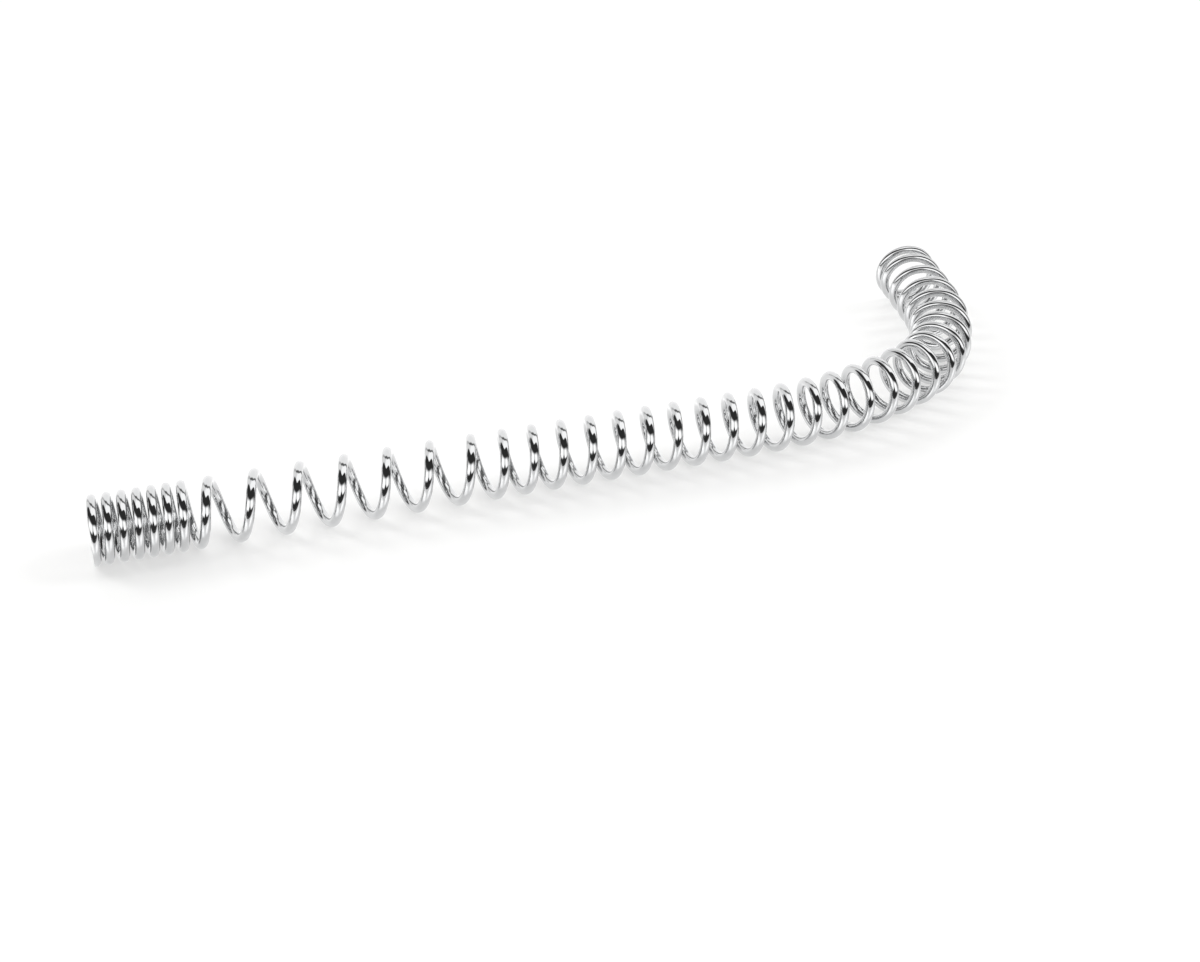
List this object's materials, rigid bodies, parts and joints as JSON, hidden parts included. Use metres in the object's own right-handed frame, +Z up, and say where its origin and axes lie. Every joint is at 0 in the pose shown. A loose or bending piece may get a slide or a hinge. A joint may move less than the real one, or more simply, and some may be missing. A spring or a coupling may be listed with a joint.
{
  "type": "pre-rinse spring",
  "caption": "Open coil spring of polished wire, close wound at its seat end and bent over at the other, that guides and holds up a spray hose.",
  "frame": {"origin": "centre of the spring's outline in plan, on the surface that it lies on", "axes": "+X along the long leg, from the seat end towards the bend; +Y the way the short leg points; +Z up from the surface"},
  "size_m": [0.4116, 0.1314, 0.0286],
  "materials": {
    "chrome_wire": "mirror polished plating"
  },
  "bodies": {
    "root": {"spring": "chrome_wire"}
  },
  "joints": []
}
